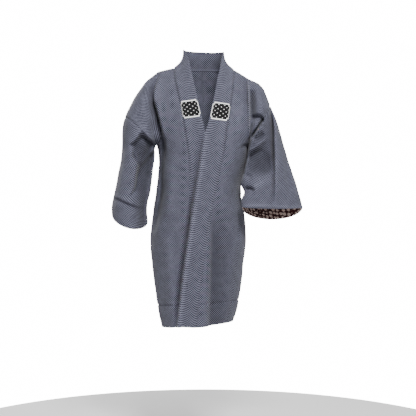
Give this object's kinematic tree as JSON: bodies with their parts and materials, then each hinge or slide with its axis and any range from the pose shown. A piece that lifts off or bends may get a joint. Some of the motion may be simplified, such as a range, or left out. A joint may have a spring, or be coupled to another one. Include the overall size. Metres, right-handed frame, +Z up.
{
  "type": "long hanten kimono coat",
  "caption": "Knee-length kimono coat in fine checked cotton, worn open at the neck, with wide tube sleeves, a long front band and a printed sleeve lining.",
  "frame": {"origin": "between the two neck points, on the wearer's shoulders, which carry the coat", "axes": "+X to the wearer's left, -Y to the wearer's front, +Z up"},
  "size_m": [0.6397, 0.2481, 0.9385],
  "materials": {
    "checked_cotton": "fine navy and white checked cotton, matt",
    "band_cotton": "the same checked cotton, folded double and pressed",
    "printed_lining": "dark wine cotton with a small pale blossom print",
    "patch_felt": "black applique cloth with a white edge"
  },
  "bodies": {
    "root": {"body_right": "checked_cotton", "body_left": "checked_cotton", "sleeve_right": "checked_cotton", "sleeve_left": "checked_cotton", "collar": "band_cotton", "lining_left": "printed_lining", "patch_right": "patch_felt", "patch_left": "patch_felt"}
  },
  "joints": []
}
